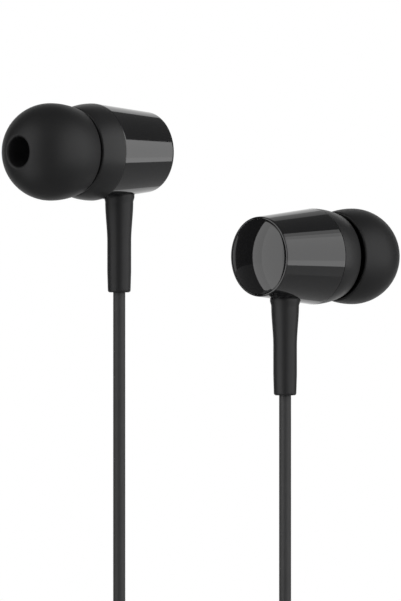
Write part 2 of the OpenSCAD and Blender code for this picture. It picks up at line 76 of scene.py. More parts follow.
# look holds the colour, the roughness range and, in millimetres, the sizes of the grain and of the
# tone patches
def makeFinish(name, look):
    material = bpy.data.materials.new(name)
    material.use_nodes = True
    nodes = material.node_tree.nodes
    links = material.node_tree.links
    shader = nodes["Principled BSDF"]
    shader.inputs["Metallic"].default_value = look.get("metal", 0)
    shader.inputs["IOR"].default_value = look.get("ior", 1.5)
    shader.inputs["Specular IOR Level"].default_value = look.get("gloss", 0.5)
    shader.inputs["Coat Weight"].default_value = look.get("coat", 0)
    shader.inputs["Coat Roughness"].default_value = 0.05
    coords = nodes.new("ShaderNodeTexCoord")
    inMillimetres = nodes.new("ShaderNodeMapping")
    stretch = look.get("stretch", (1, 1, 1))
    inMillimetres.inputs["Scale"].default_value = [1000 * s for s in stretch]
    links.new(coords.outputs["Object"], inMillimetres.inputs["Vector"])
    # broad patches of slightly different tone
    patches = nodes.new("ShaderNodeTexNoise")
    patches.inputs["Scale"].default_value = 1 / look.get("patch", 3)
    patches.inputs["Detail"].default_value = 3
    links.new(inMillimetres.outputs["Vector"], patches.inputs["Vector"])
    tones = nodes.new("ShaderNodeValToRGB")
    tones.color_ramp.elements[0].position = 0.3
    tones.color_ramp.elements[1].position = 0.7
    spread = look.get("spread", 0.08)
    tones.color_ramp.elements[0].color = [c * (1 - spread) for c in look["colour"]] + [1]
    tones.color_ramp.elements[1].color = [c * (1 + spread) for c in look["colour"]] + [1]
    links.new(patches.outputs["Fac"], tones.inputs["Fac"])
    links.new(tones.outputs["Color"], shader.inputs["Base Color"])
    # fine grain for the roughness and the bump
    grain = nodes.new("ShaderNodeTexNoise")
    grain.inputs["Scale"].default_value = 1 / look.get("grain", 0.12)
    grain.inputs["Detail"].default_value = 4
    links.new(inMillimetres.outputs["Vector"], grain.inputs["Vector"])
    roughness = nodes.new("ShaderNodeMapRange")
    roughness.inputs["From Min"].default_value = 0.25
    roughness.inputs["From Max"].default_value = 0.75
    low, high = look["roughness"]
    roughness.inputs["To Min"].default_value = low
    roughness.inputs["To Max"].default_value = high
    links.new(grain.outputs["Fac"], roughness.inputs["Value"])
    links.new(roughness.outputs["Result"], shader.inputs["Roughness"])
    bump = nodes.new("ShaderNodeBump")
    bump.inputs["Strength"].default_value = look.get("bump", 0.2)
    bump.inputs["Distance"].default_value = look.get("depth", 0.004) * mm
    links.new(grain.outputs["Fac"], bump.inputs["Height"])
    links.new(bump.outputs["Normal"], shader.inputs["Normal"])
    return material


finishes = {
    "eartip_silicone": {"colour": (0.0102, 0.0102, 0.0106), "roughness": (0.46, 0.54), "ior": 1.43,
                        "gloss": 0.27, "grain": 0.16, "bump": 0.3, "patch": 4},
    "shell_satin": {"colour": (0.0143, 0.0143, 0.0147), "roughness": (0.36, 0.44), "gloss": 0.21,
                    "grain": 0.1, "bump": 0.35},
    "barrel_gloss": {"colour": (0.0075, 0.0075, 0.008), "roughness": (0.03, 0.05), "grain": 1.5,
                     "bump": 0.04, "depth": 0.002, "patch": 6},
    "cap_gloss": {"colour": (0.0075, 0.0075, 0.008), "roughness": (0.03, 0.05), "grain": 1.5,
                  "bump": 0.04, "depth": 0.002, "patch": 6},
    "relief_rubber": {"colour": (0.0115, 0.0115, 0.012), "roughness": (0.42, 0.5), "ior": 1.46,
                      "gloss": 0.24, "grain": 0.14, "bump": 0.25},
    "cord_sheath": {"colour": (0.027, 0.027, 0.0275), "roughness": (0.5, 0.58), "gloss": 0.25,
                    "grain": 0.12, "bump": 0.15},
    "mesh_steel": {"colour": (0.5, 0.5, 0.51), "metal": 1, "roughness": (0.25, 0.4)},
    "basket_plastic": {"colour": (0.03, 0.03, 0.03), "roughness": (0.45, 0.6)},
    "diaphragm_film": {"colour": (0.6, 0.52, 0.3), "roughness": (0.12, 0.2), "depth": 0.001},
    "coil_copper": {"colour": (0.72, 0.4, 0.18), "metal": 1, "roughness": (0.2, 0.35),
                    "stretch": (6, 1, 1)},
    "pole_steel": {"colour": (0.58, 0.58, 0.6), "metal": 1, "roughness": (0.28, 0.42)},
    "magnet_nickel": {"colour": (0.68, 0.67, 0.65), "metal": 1, "roughness": (0.1, 0.2)},
    "damper_felt": {"colour": (0.8, 0.8, 0.77), "roughness": (0.85, 0.95), "grain": 0.05, "bump": 0.8},
    "board": {"colour": (0.04, 0.2, 0.1), "roughness": (0.25, 0.4)},
    "lead_insulation": {"colour": (0.45, 0.08, 0.06), "roughness": (0.3, 0.4)},
    "tie_plastic": {"colour": (0.03, 0.03, 0.03), "roughness": (0.4, 0.5), "grain": 0.2},
    "plug_metal": {"colour": (0.7, 0.7, 0.71), "metal": 1, "roughness": (0.12, 0.2), "depth": 0.001},
    "plug_insulator": {"colour": (0.02, 0.02, 0.02), "roughness": (0.35, 0.45)},
}
finishes = {name: makeFinish(name, look) for name, look in finishes.items()}
print("finishes made:", len(finishes))


# Each branch cord runs from its earpiece to the splitter, the main cord from there to the plug
leftCordX = 12.3
rightCordX = 42.4
rightLower = 13.4
reliefReach = 17.9
cords = {
    "branchDiameter": 1.6,
    "mainDiameter": 2.0,
    "turnGap": 0.5,
    "floor": -78,
    "turnPoints": 24,  # points in one turn of a coil
    "facing": 4,       # bevel resolution of the round section
}
branchPitch = cords["branchDiameter"] + cords["turnGap"]
leftCoil = {"centre": (31.6, 10.8), "outer": 10.8, "turns": 4.25, "layers": 2, "start": -90,
            "low": cords["floor"] + cords["branchDiameter"] / 2, "diameter": cords["branchDiameter"]}
rightCoil = {"centre": (31.6, 10.8), "outer": 10.8, "turns": 5, "layers": 2, "start": 0,
             "low": leftCoil["low"] + 2 * branchPitch, "diameter": cords["branchDiameter"]}
mainCoil = {"centre": (8.6, 24.8), "outer": 13.6, "turns": 11.5, "layers": 4, "start": 90,
            "low": cords["floor"] + cords["mainDiameter"] / 2, "diameter": cords["mainDiameter"]}


# A coil winds in and out in layers, with a straight end of one diameter at each side
def coilPoints(coil):
    pitch = coil["diameter"] + cords["turnGap"]
    whole = 360 * coil["turns"]
    last = round(coil["turns"] * cords["turnPoints"])
    points = []
    for i in range(last + 1):
        swept = 360 * i / cords["turnPoints"]
        layer = swept / whole * coil["layers"]
        inwards = 1 - abs(1 - layer % 2)
        radius = coil["outer"] - pitch * coil["turns"] / coil["layers"] * inwards
        climb = 0
        for k in range(1, coil["layers"]):
            t = min(max((swept - whole * k / coil["layers"] + 90) / 180, 0), 1)
            climb += t * t * (3 - 2 * t)
        angle = math.radians(coil["start"] + swept)
        points.append(Vector((coil["centre"][0] + radius * math.cos(angle),
                              coil["centre"][1] + radius * math.sin(angle), coil["low"] + pitch * climb)))
    for end, sign, turned in ((0, -1, 0), (-1, 1, whole)):
        angle = math.radians(coil["start"] + turned + 90)
        way = Vector((math.cos(angle), math.sin(angle), 0)) * coil["diameter"] * sign
        points.insert(0 if end == 0 else len(points), points[end] + way)
    return points


leftDrop = [(leftCordX, 0, z) for z in (-reliefReach, -22, -26.5, -31, -35.5, -40, -44.5, -49, -53.5, -58,
                                        -62.5, -67, -71.2)]
leftDrop += [(13.1, 0, -74.2), (15.3, 0, -76.4), (18.2, 0, -77.2), (22, 0, -77.2), (26, 0, -77.2)]
rightDrop = [(rightCordX, 0, z) for z in (-rightLower - reliefReach, -35.5, -40, -44.5, -49, -53.5, -58,
                                          -62.5, -67.1)]
rightDrop += [(rightCordX, 0.8, -70.1), (rightCordX, 3, -72.3), (rightCordX, 6, -73)]
leftTail = [(42.4, 13.9, -75.1), (42.4, 16.8, -75.6), (42.2, 20.5, -76.5), (41.9, 24, -77),
            (41.8, 28, -77), (41.8, 31.2, -76.8), (41, 34, -76.3), (39.2, 36, -75.7), (37.6, 36.8, -75.4),
            (36, 36.8, -75.4)]
rightTail = [(42.4, 13.9, -70.9), (42.8, 16.8, -72), (43.8, 20.5, -74.4), (44.7, 24, -76.4),
             (45, 28, -77.1), (45, 31.2, -77.1), (44.2, 34.6, -76.8), (42.4, 37.4, -76.2),
             (39.8, 39.4, -75.6), (37.6, 40, -75.4), (36, 40, -75.4)]
mainStart = [(20, 38.4, -75.4), (18.2, 38.4, -75.4), (15.6, 38.4, -76.1), (13.6, 38.4, -76.8),
             (12, 38.4, -77)]
mainEnd = [(12, 11.2, -69.5), (14, 11.2, -69.1), (16, 11.2, -67.8), (17.6, 11.2, -66.8),
           (19.2, 11.2, -66.45), (20.5, 11.2, -66.45)]


# One smooth curve through all the points of a route
def layCord(name, points, diameter):
    curve = bpy.data.curves.new(name, "CURVE")
    curve.dimensions = "3D"
    curve.resolution_u = 4
    curve.bevel_depth = diameter / 2 * mm
    curve.bevel_resolution = cords["facing"]
    curve.use_fill_caps = True
    spline = curve.splines.new("BEZIER")
    spline.bezier_points.add(len(points) - 1)
    for knot, point in zip(spline.bezier_points, points):
        knot.co = Vector(point) * mm
        knot.handle_left_type = knot.handle_right_type = "AUTO"
    cord = bpy.data.objects.new(name, curve)
    scene.collection.objects.link(cord)
    curve.materials.append(finishes["cord_sheath"])
    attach(cord, "earphones")
    return cord


leftRoute = leftDrop + coilPoints(leftCoil) + leftTail
rightRoute = rightDrop + coilPoints(rightCoil) + rightTail
mainRoute = mainStart + coilPoints(mainCoil) + mainEnd
leftCord = layCord("leftBranchCord", leftRoute, cords["branchDiameter"])
rightCord = layCord("rightBranchCord", rightRoute, cords["branchDiameter"])
mainCord = layCord("mainCord", mainRoute, cords["mainDiameter"])
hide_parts("left_cord_drop", "left_cord_coil", "left_cord_tail")
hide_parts("right_cord_drop", "right_cord_coil", "right_cord_tail")
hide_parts("main_cord_start", "main_cord_coil", "main_cord_end")
print("cords laid")


# An outline is turned about the Z axis. It holds (radius, height), (radius, height, corner round)
# or ("arc", radius, height, degrees, steps), an arc round that point.
def latheOutline(outline, steps=144):
    touching = 1e-4
    bm = bmesh.new()
    chain = []
    corners = []
    for stroke in outline:
        if stroke[0] == "arc":
            centre = (stroke[1], 0, stroke[2])
            turned = bmesh.ops.spin(bm, geom=[chain[-1]], cent=centre, axis=(0, -1, 0), dvec=(0, 0, 0),
                                    angle=math.radians(stroke[3]), steps=stroke[4])
            chain.append([v for v in turned["geom_last"] if isinstance(v, bmesh.types.BMVert)][0])
            continue
        point = bm.verts.new((stroke[0], 0, stroke[1]))
        if chain:
            bm.edges.new((chain[-1], point))
        if len(stroke) == 3:
            corners.append((point, stroke[2]))
        chain.append(point)
    if outline[0][0] > 0 and (chain[-1].co - chain[0].co).length > touching:
        bm.edges.new((chain[-1], chain[0]))
    for point, rounding in corners:
        # holding points keep the long faces even up to the rounding
        for edge in point.link_edges[:]:
            if edge.calc_length() > 6 * rounding:
                bmesh.utils.edge_split(edge, point, 2.5 * rounding / edge.calc_length())
    for point, rounding in corners:
        bmesh.ops.bevel(bm, geom=[point], offset=rounding, affect="VERTICES", segments=4, profile=0.5,
                        material=-1)
    bmesh.ops.remove_doubles(bm, verts=bm.verts, dist=touching)
    bmesh.ops.spin(bm, geom=bm.verts[:] + bm.edges[:], cent=(0, 0, 0), axis=(0, 0, 1), dvec=(0, 0, 0),
                   angle=2 * math.pi, steps=steps, use_merge=True)
    bmesh.ops.remove_doubles(bm, verts=bm.verts, dist=touching)
    bmesh.ops.recalc_face_normals(bm, faces=bm.faces)
    return bm


# Several shapes, each with its place, in one mesh
def joinShapes(shapes):
    whole = bmesh.new()
    for shape, place in shapes:
        bmesh.ops.transform(shape, matrix=place, verts=shape.verts)
        part = bpy.data.meshes.new("part")
        shape.to_mesh(part)
        shape.free()
        whole.from_mesh(part)
        bpy.data.meshes.remove(part)
    return whole


# Cuts one shape out of another, both in millimetres
def cutShape(bm, cutter):
    blanks = []
    for shape in (bm, cutter):
        mesh = bpy.data.meshes.new("blank")
        shape.to_mesh(mesh)
        shape.free()
        blanks.append(bpy.data.objects.new("blank", mesh))
        scene.collection.objects.link(blanks[-1])
    cut = blanks[0].modifiers.new("cut", "BOOLEAN")
    cut.operation = "DIFFERENCE"
    cut.solver = "EXACT"
    cut.object = blanks[1]
    finished = blanks[0].evaluated_get(bpy.context.evaluated_depsgraph_get())
    cutMesh = bpy.data.meshes.new_from_object(finished)
    result = bmesh.new()
    result.from_mesh(cutMesh)
    for mesh in [blank.data for blank in blanks] + [cutMesh]:
        bpy.data.meshes.remove(mesh)
    return result


# Moves a millimetre mesh to its place in metres and gives it its finish, slot and body
def finishPiece(bm, name, place, slotName, body="earphones", sharpAngle=32):
    bmesh.ops.transform(bm, matrix=Matrix.Diagonal((mm, mm, mm, 1)) @ place, verts=bm.verts)
    mesh = bpy.data.meshes.new(name)
    bm.to_mesh(mesh)
    bm.free()
    mesh.shade_smooth()
    mesh.set_sharp_from_angle(angle=math.radians(sharpAngle))
    mesh.materials.append(finishes[slotName])
    piece = bpy.data.objects.new(name, mesh)
    scene.collection.objects.link(piece)
    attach(piece, body)
    return piece


# Along an earpiece's own Z its eartip points up; the sides face opposite ways
toLeft = Matrix.Rotation(math.radians(-90), 4, "Y")
sides = {
    "left": {"along": toLeft, "cordAt": Matrix.Translation((leftCordX, 0, 0)), "tipBody": "left_tip"},
    "right": {"along": Matrix.Translation((leftCordX + rightCordX, 0, -rightLower))
              @ Matrix.Rotation(math.pi, 4, "Z") @ toLeft,
              "cordAt": Matrix.Translation((rightCordX, 0, -rightLower)), "tipBody": "right_tip"},
}

eartip = {"radius": 6.2, "hole": 1.9, "mouthRound": 0.3, "skirtWall": 0.5, "skirtSweep": 11.1,
          "rimDepth": {"left": 3.3, "right": 2.95}, "core": 3.3, "coreEnd": -3, "coreRound": 0.2,
          "roofRound": 0.8, "bore": 2.6, "seat": 1.6}


def makeEartip(side):
    e = eartip
    mouthX = e["hole"] + e["mouthRound"]
    mouthY = math.sqrt((e["radius"] - e["mouthRound"]) ** 2 - mouthX ** 2)
    mouthAngle = math.degrees(math.atan2(mouthY, mouthX))
    skirtX = e["radius"] - e["skirtSweep"]
    rimDepth = e["rimDepth"][side]
    rimRadius = e["skirtSweep"] - e["skirtWall"] / 2
    rimAngle = math.degrees(math.asin(rimDepth / rimRadius))
    rimX = skirtX + rimRadius * math.cos(math.radians(rimAngle))
    roofX = e["core"] + e["roofRound"]
    inner = e["radius"] - e["skirtWall"]
    roofY = math.sqrt((inner - e["roofRound"]) ** 2 - roofX ** 2)
    roofAngle = math.degrees(math.atan2(roofY, roofX))
    bm = latheOutline([
        (e["hole"], mouthY),
        ("arc", mouthX, mouthY, mouthAngle - 180, 8),
        ("arc", 0, 0, -mouthAngle, 24),
        ("arc", skirtX, 0, -rimAngle, 10),
        ("arc", rimX, -rimDepth, -180, 10),
        ("arc", skirtX, 0, rimAngle, 8),
        ("arc", 0, 0, roofAngle, 8),
        ("arc", roofX, roofY, 180 - roofAngle, 10),
        (e["core"], e["coreEnd"], e["coreRound"]), (e["bore"], e["coreEnd"], e["coreRound"]),
        (e["bore"], e["seat"]), (e["hole"], e["seat"]),
    ])
    piece = finishPiece(bm, side + "Eartip", sides[side]["along"], "eartip_silicone",
                        sides[side]["tipBody"])
    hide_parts(side + "_eartip")


# Collar, driver cup and nozzle in one turned piece
frontShell = {"collar": 6.2, "front": -3.9, "seam": -7.4, "sideSweep": 10, "edgeRound": 0.3,
              "rearRound": 0.12, "neck": 2.35, "neckRound": 0.4, "neckFront": 1.2, "barb": 2.55,
              "barbFront": 0.5, "barbRear": 0.9, "nozzleTip": 1.4, "tipBevel": 0.3, "tipRound": 0.05,
              "passage": 1.75, "meshSeat": 2.1, "meshDepth": 0.4, "spigot": 5.5, "spigotLength": 1.5,
              "cup": 4.9, "cupWall": 1.4}


def makeFrontShell(side):
    f = frontShell
    sideX = f["collar"] - f["sideSweep"]
    edgeAngle = math.degrees(math.asin((f["front"] - f["seam"] - f["edgeRound"])
                                       / (f["sideSweep"] - f["edgeRound"])))
    edgeX = sideX + (f["sideSweep"] - f["edgeRound"]) * math.cos(math.radians(edgeAngle))
    bm = latheOutline([
        (f["meshSeat"], f["nozzleTip"], f["tipRound"]),
        (f["barb"] - f["tipBevel"], f["nozzleTip"], f["tipRound"]),
        (f["barb"], f["nozzleTip"] - f["barbFront"], 0.1), (f["barb"], f["nozzleTip"] - f["barbRear"]),
        (f["neck"], f["nozzleTip"] - f["neckFront"]), (f["neck"], f["front"], f["neckRound"]),
        (edgeX, f["front"]),
        ("arc", edgeX, f["front"] - f["edgeRound"], edgeAngle - 90, 6),
        ("arc", sideX, f["seam"], -edgeAngle, 12),
        (f["collar"] - 0.001, f["seam"], f["rearRound"]),  # a hair inside the arc's end, so it is rounded
        (f["spigot"], f["seam"]), (f["spigot"], f["seam"] - f["spigotLength"]),
        (f["cup"], f["seam"] - f["spigotLength"]), (f["cup"], f["front"] - f["cupWall"]),
        (f["passage"], f["front"] - f["cupWall"]), (f["passage"], f["nozzleTip"] - f["meshDepth"]),
        (f["meshSeat"], f["nozzleTip"] - f["meshDepth"]),
    ], steps=160)
    piece = finishPiece(bm, side + "FrontShell", sides[side]["along"], "shell_satin")
    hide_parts(side + "_front_shell")


barrel = {"front": 6.2, "rear": 5.15, "seam": -7.4, "end": -17.1, "frontRound": 0.1, "rearRound": 0.15,
          "capSeat": 4.9, "capRound": 0.04, "capDepth": 0.9, "wall": 0.9, "spigot": 5.5, "seatDepth": 1.6}
cordHole = {"radius": 1.5, "inside": 3, "counterbore": 2.0, "counterboreFloor": 5.2, "outside": 8}


def makeBarrel(side):
    b = barrel
    slope = (b["front"] - b["rear"]) / (b["seam"] - b["end"])
    innerFront = b["front"] - slope * b["seatDepth"] - b["wall"]
    innerRear = b["rear"] + slope * b["capDepth"] - b["wall"]
    bm = latheOutline([
        (b["front"], b["seam"], b["frontRound"]), (b["rear"], b["end"], b["rearRound"]),
        (b["capSeat"], b["end"], b["capRound"]), (b["capSeat"], b["end"] + b["capDepth"]),
        (innerRear, b["end"] + b["capDepth"]), (innerFront, b["seam"] - b["seatDepth"]),
        (b["spigot"], b["seam"] - b["seatDepth"]), (b["spigot"], b["seam"]),
    ], steps=192)
    h = cordHole
    cutter = latheOutline([
        (0, -h["inside"]), (h["radius"], -h["inside"]), (h["radius"], -h["counterboreFloor"]),
        (h["counterbore"], -h["counterboreFloor"]), (h["counterbore"], -h["outside"]), (0, -h["outside"]),
    ], steps=72)
    hang = Matrix.Translation((0, 0, -leftCordX)) @ Matrix.Rotation(math.pi / 2, 4, "Y")
    bmesh.ops.transform(cutter, matrix=hang, verts=cutter.verts)
    bm = cutShape(bm, cutter)
    piece = finishPiece(bm, side + "Barrel", sides[side]["along"], "barrel_gloss")
    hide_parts(side + "_barrel")


rearCap = {"radius": 4.86, "sweep": 10, "edge": 0.06, "end": -17.1, "wall": 0.9, "ring": 4.1,
           "ringInner": 3.7, "ringLength": 0.75, "seat": 0.85}


def makeRearCap(side):
    c = rearCap
    edgeAngle = math.acos((c["radius"] - c["edge"]) / c["sweep"])
    centre = c["end"] + c["sweep"] * math.sin(edgeAngle)
    ringAngle = math.acos(c["ringInner"] / (c["sweep"] - c["wall"]))
    seat = c["end"] + c["seat"]
    bm = latheOutline([
        (0, centre - c["sweep"]),
        ("arc", 0, centre, 90 - math.degrees(edgeAngle), 28),
        (c["radius"], c["end"] + c["edge"]), (c["radius"], seat), (c["ring"], seat),
        (c["ring"], seat + c["ringLength"]), (c["ringInner"], seat + c["ringLength"]),
        (c["ringInner"], centre - (c["sweep"] - c["wall"]) * math.sin(ringAngle)),
        ("arc", 0, centre, math.degrees(ringAngle) - 90, 12),
    ], steps=192)
    piece = finishPiece(bm, side + "RearCap", sides[side]["along"], "cap_gloss", sharpAngle=25)
    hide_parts(side + "_rear_cap")


relief = {"flange": 2.3, "flangeTop": 3.3, "flangeBottom": 3.9, "neck": 1.5, "shoulder": 1.95,
          "shoulderTop": 5.2, "shoulderLength": 0.6, "shoulderRound": 0.3, "top": 1.8, "waist": 1.53,
          "end": 1.45, "endRound": 0.28, "flareStart": 6.3, "flareEnd": 11.5, "flareSteps": 16,
          "waistEnd": 15.2}


def makeStrainRelief(side):
    r = relief
    flare = []
    for i in range(r["flareSteps"] + 1):
        t = i / r["flareSteps"]
        ease = t * t * (3 - 2 * t)
        flare.append((r["top"] + (r["waist"] - r["top"]) * ease,
                      -r["flareStart"] - (r["flareEnd"] - r["flareStart"]) * t))
    bm = latheOutline([
        (0, -r["flangeTop"]), (r["flange"], -r["flangeTop"]), (r["flange"], -r["flangeBottom"]),
        (r["neck"], -r["flangeBottom"]), (r["neck"], -r["shoulderTop"]),
        (r["shoulder"], -r["shoulderTop"], r["shoulderRound"]),
        (r["shoulder"], -r["shoulderTop"] - r["shoulderLength"]), *flare,
        (r["waist"], -r["waistEnd"]), (r["end"], -reliefReach, r["endRound"]), (0, -reliefReach),
    ], steps=96)
    piece = finishPiece(bm, side + "StrainRelief", sides[side]["cordAt"], "relief_rubber")
    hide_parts(side + "_strain_relief")


for side in sides:
    makeEartip(side)
    makeFrontShell(side)
    makeBarrel(side)
    makeRearCap(side)
    makeStrainRelief(side)
print("earpieces turned")

# The plug lies on its side, its pin along +X from the grip's front face
plug = {"gripFace": 45.5, "y": 11.2, "z": -66.45, "gripRadius": 3.8, "gripLength": 17, "gripEdge": 0.6,
        "gripSteps": 24, "waist": 0.35, "flangeRadius": 2.6, "flangeSeat": 0.6, "flangeLip": 0.3,
        "seatPlay": 0.03, "pinRadius": 1.75, "pinCore": 1.25, "rearBand": 6.8, "ringBand": 7.5,
        "frontBand": 9.3, "tipBand": 10, "bandCore": 1, "bandInset": 0.02, "notch": 0.5,
        "pinLength": 14, "contactEdge": 0.05, "reliefLength": 8, "reliefFront": 2.5, "reliefRear": 1.6,
        "grooveRadius": 1.3, "grooves": 4, "grooveWidth": 0.5, "grooveRound": 0.08}
atPlug = Matrix.Translation((plug["gripFace"], plug["y"], plug["z"])) @ Matrix.Rotation(math.pi / 2, 4, "Y")


def makePlugGrip():
    p = plug
    flat = p["gripRadius"] - p["gripEdge"]
    seat = p["flangeRadius"] + p["seatPlay"]
    waisted = []
    for i in range(1, p["gripSteps"] + 1):
        t = i / p["gripSteps"]
        waisted.append((p["gripRadius"] - p["waist"] * math.sin(math.pi * t),
                        -p["gripEdge"] - (p["gripLength"] - 2 * p["gripEdge"]) * t))
    bm = latheOutline([
        (0, -p["flangeSeat"]), (seat, -p["flangeSeat"]), (seat, 0, 0.05), (flat, 0),
        ("arc", flat, -p["gripEdge"], -90, 8), *waisted,
        ("arc", flat, -p["gripLength"] + p["gripEdge"], -90, 8), (0, -p["gripLength"]),
    ])
    piece = finishPiece(bm, "plugGrip", atPlug, "shell_satin")
    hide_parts("plug_grip")
    return piece


# The plug's relief is ribbed, as bending reliefs are; here it is one rigid piece
def makePlugRelief():
    p = plug
    rear = -p["gripLength"] - p["reliefLength"]
    slope = (p["reliefFront"] - p["reliefRear"]) / p["reliefLength"]
    outline = [(0, rear), (p["reliefRear"], rear, 0.15)]
    for i in range(1, p["grooves"] + 1):
        middle = p["reliefLength"] * i / (p["grooves"] + 1)
        for edge in (-p["grooveWidth"] / 2, p["grooveWidth"] / 2):
            rib = (p["reliefRear"] + slope * (middle + edge), rear + middle + edge, p["grooveRound"])
            floor = (p["grooveRadius"], rear + middle + edge, p["grooveRound"])
            outline += [rib, floor] if edge < 0 else [floor, rib]
    outline += [(p["reliefFront"], -p["gripLength"]), (0, -p["gripLength"])]
    piece = finishPiece(latheOutline(outline), "plugStrainRelief", atPlug, "relief_rubber")
    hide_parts("plug_strain_relief")
    return piece


def makeContact(name, node, outline, slotName):
    piece = finishPiece(latheOutline(outline, steps=96), name, atPlug, slotName)
    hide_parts(node)
    return piece


def makePlug():
    p = plug
    pin = p["pinRadius"]
    edge = p["contactEdge"]
    pieces = [makePlugGrip(), makePlugRelief()]
    pieces.append(makeContact("plugSleeveContact", "plug_sleeve_contact", [
        (p["flangeRadius"], -p["flangeSeat"]), (p["flangeRadius"], p["flangeLip"], 0.12),
        (pin, p["flangeLip"]), (pin, p["rearBand"], edge), (p["pinCore"], p["rearBand"]),
        (p["pinCore"], -p["flangeSeat"]),
    ], "plug_metal"))
    bands = (("plugRearInsulator", "plug_rear_insulator", p["rearBand"], p["ringBand"], "plug_insulator"),
             ("plugRingContact", "plug_ring_contact", p["ringBand"], p["frontBand"], "plug_metal"),
             ("plugFrontInsulator", "plug_front_insulator", p["frontBand"], p["tipBand"], "plug_insulator"))
    for name, node, low, high, slotName in bands:
        outer = pin - (p["bandInset"] if slotName == "plug_insulator" else 0)
        pieces.append(makeContact(name, node, [
            (outer, low, edge / 2), (outer, high, edge / 2), (p["bandCore"], high), (p["bandCore"], low),
        ], slotName))
    tip = p["tipBand"]
    notch = pin - p["notch"]
    pieces.append(makeContact("plugTipContact", "plug_tip_contact", [
        (0, tip), (pin, tip, edge), (pin, tip + 0.7, 0.12), (notch, tip + 1.2, 0.1),
        (notch, tip + 1.4, 0.1), (pin - 0.15, tip + 2, 0.3), (1.28, tip + 3.55, 0.4),
        (0.5, p["pinLength"], 0.4), (0, p["pinLength"]),
    ], "plug_metal"))
    return pieces


# A flat moulded fork with two sleeves for the branches and one for the main cord
splitter = {"branchEnd": 36, "mainEnd": 20, "y": 38.4, "z": -75.4, "apart": 1.6, "thick": 2.2,
            "edge": 0.3, "branchSleeve": 3, "mainSleeve": 3.5, "sleeveRadius": 1.5, "sleeveEnd": 1.25,
            "sleeveRound": 0.2, "sleeveRoot": 0.6}


def makeSplitter():
    f = splitter
    rear = f["branchEnd"] - f["branchSleeve"]
    front = f["mainEnd"] + f["mainSleeve"]
    body = bmesh.new()
    rim = ((0, f["edge"]), (0.09, 0.1), (0.3, 0))  # how far back and how far in
    rings = [(side * f["apart"], rear - back, f["thick"] - inset) for side in (-1, 1)
             for back, inset in (*rim, (2.5, 0))]
    rings += [(0, front + back, f["thick"] - inset) for back, inset in (*rim, (1.8, 0))]
    for y, x, radius in rings:
        bmesh.ops.create_circle(body, cap_ends=False, segments=48, radius=radius,
                                matrix=Matrix.Translation((0, y, x)))
    wrapped = bmesh.ops.convex_hull(body, input=body.verts)
    inside = wrapped["geom_interior"] + wrapped["geom_unused"]
    loose = {v for v in inside if isinstance(v, bmesh.types.BMVert)}
    bmesh.ops.delete(body, geom=list(loose), context="VERTS")
    bmesh.ops.dissolve_limit(body, angle_limit=math.radians(1), verts=body.verts, edges=body.edges)
    bmesh.ops.recalc_face_normals(body, faces=body.faces)
    shapes = [(body, Matrix())]
    for side in (-1, 1):
        sleeve = latheOutline([
            (0, rear - f["sleeveRoot"]), (f["sleeveRadius"], rear - f["sleeveRoot"]),
            (f["sleeveRadius"], rear), (f["sleeveEnd"], f["branchEnd"], f["sleeveRound"]),
            (0, f["branchEnd"]),
        ], steps=64)
        shapes.append((sleeve, Matrix.Translation((0, side * f["apart"], 0))))
    mainSleeve = latheOutline([
        (0, f["mainEnd"]), (f["sleeveRadius"], f["mainEnd"], f["sleeveRound"]), (1.8, front + 0.1),
        (0, front + 0.1),
    ], steps=64)
    shapes.append((mainSleeve, Matrix()))
    place = Matrix.Translation((0, f["y"], f["z"])) @ Matrix.Rotation(math.pi / 2, 4, "Y")
    piece = finishPiece(joinShapes(shapes), "cableSplitter", place, "shell_satin")
    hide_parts("cable_splitter")
    return piece


# A flat tie goes round a coil's cords, and its two ends are twisted together outside
tie = {"width": 2.6, "band": 0.4, "clearance": 0.12, "corner": 0.9, "edge": 0.1, "twistWidth": 1.8,
       "twistThick": 0.8, "twistStart": -0.05, "twistEnd": 2.55, "twist": 100, "twistSteps": 20}


